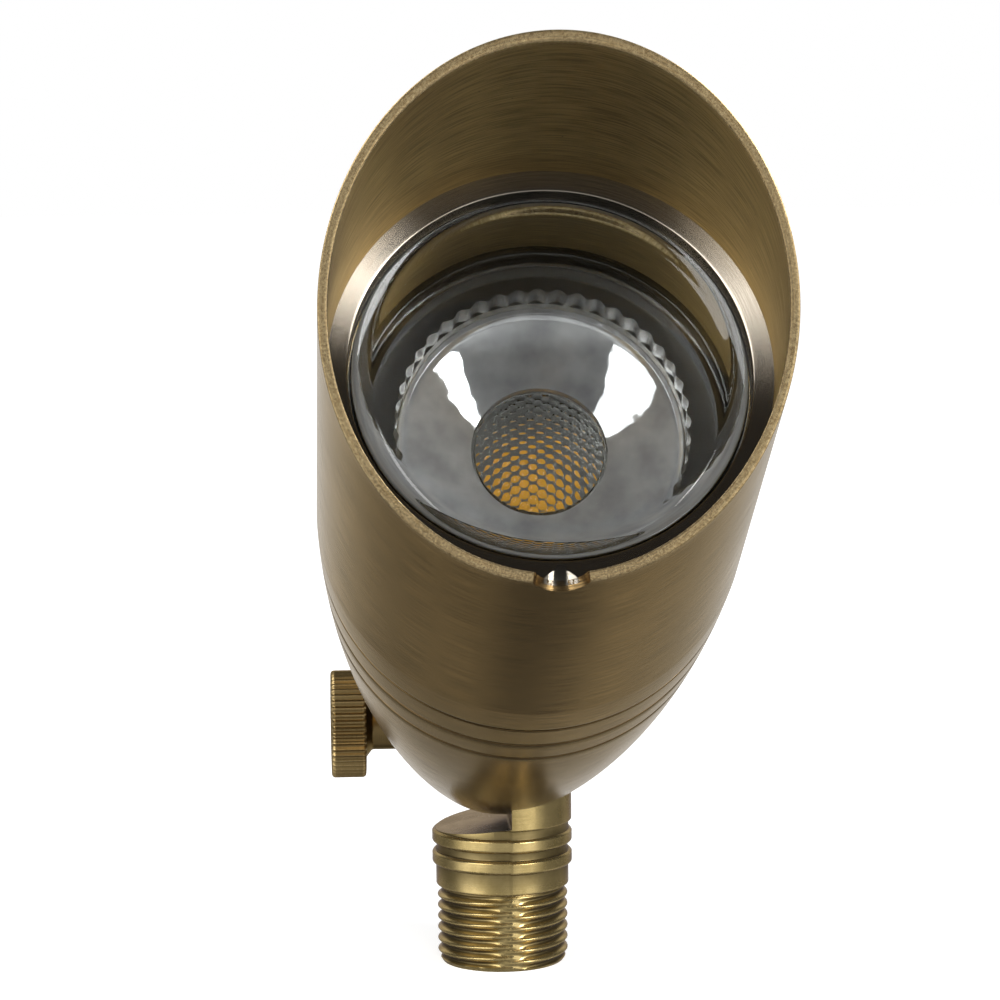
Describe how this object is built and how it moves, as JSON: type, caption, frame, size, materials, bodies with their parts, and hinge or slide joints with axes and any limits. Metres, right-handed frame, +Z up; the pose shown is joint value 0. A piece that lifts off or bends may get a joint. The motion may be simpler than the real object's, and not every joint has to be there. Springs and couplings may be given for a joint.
{
  "type": "landscape spotlight",
  "caption": "Brass landscape spotlight: slant-cut hood screwed on a bullet housing that tilts on a half-lap knuckle with a knurled thumbscrew and a pipe-thread stem.",
  "frame": {"origin": "on the stem's axis at its lower end", "axes": "+Z up along the stem, light facing -Y and tilted up, thumbscrew on -X"},
  "size_m": [0.06, 0.1499, 0.1498],
  "materials": {
    "aged_brass": "aged, brushed in rings",
    "cast_brass": "aged, as cast and turned",
    "turned_brass": "aged, turned and knurled",
    "clear_glass": "polished",
    "lamp_glass": "pressed",
    "clear_optic": "moulded clear",
    "lamp_aluminium": "bright",
    "led_phosphor": "matt",
    "white_ceramic": "unglazed",
    "plated_steel": "zinc plated",
    "plated_contact": "nickel plated",
    "black_rubber": "matt"
  },
  "bodies": {
    "stem": {"stem": "cast_brass", "wire_bush": "black_rubber"},
    "head": {"housing": "aged_brass", "knuckle_seal": "black_rubber", "hood_seal": "black_rubber", "wire_grommet": "black_rubber", "socket_bracket": "plated_steel", "bracket_screws": "plated_steel", "lamp_socket": "white_ceramic", "socket_contacts": "plated_contact", "socket_screws": "plated_steel"},
    "lamp": {"lamp_cup": "lamp_glass", "lamp_core": "lamp_aluminium", "led_board": "lamp_aluminium", "led_cob": "led_phosphor", "lamp_optic": "clear_optic", "lamp_ring": "clear_optic", "lamp_base": "white_ceramic", "lamp_pins": "plated_contact"},
    "lens_pack": {"lens": "clear_glass", "lens_gasket": "black_rubber", "rear_gasket": "black_rubber"},
    "hood": {"hood": "aged_brass"},
    "clamp_washer": {"thumbscrew_washer": "turned_brass"},
    "thumbscrew": {"thumbscrew": "turned_brass"}
  },
  "joints": [
    {"name": "tilt", "type": "hinge", "parent": "stem", "child": "head", "pos_m": [0, 0, 0.0394], "axis": [-1, 0, 0], "range_deg": [-15, 136]},
    {"name": "hood_lift", "type": "slide", "parent": "head", "child": "lens_pack", "axis": [0, -0.8704, 0.4924], "range_m": [0, 0.0075]},
    {"name": "hood_turn", "type": "hinge", "parent": "lens_pack", "child": "hood", "pos_m": [0, 0, 0.0394], "axis": [0, -0.8704, 0.4924], "range_deg": [0, 1800]},
    {"name": "lamp_pull", "type": "slide", "parent": "head", "child": "lamp", "axis": [0, -0.8704, 0.4924], "range_m": [0, 0.0075]},
    {"name": "thumbscrew_back_off", "type": "slide", "parent": "stem", "child": "clamp_washer", "axis": [-1, 0, 0], "range_m": [0, 0.002]},
    {"name": "thumbscrew_turn", "type": "hinge", "parent": "clamp_washer", "child": "thumbscrew", "pos_m": [0, 0, 0.0394], "axis": [-1, 0, 0], "range_deg": [0, 720]}
  ],
  "couplings": [
    {"joint": "hood_turn", "follows": "hood_lift", "rad_per_m": 4188.8},
    {"joint": "thumbscrew_turn", "follows": "thumbscrew_back_off", "rad_per_m": 6283.2}
  ]
}
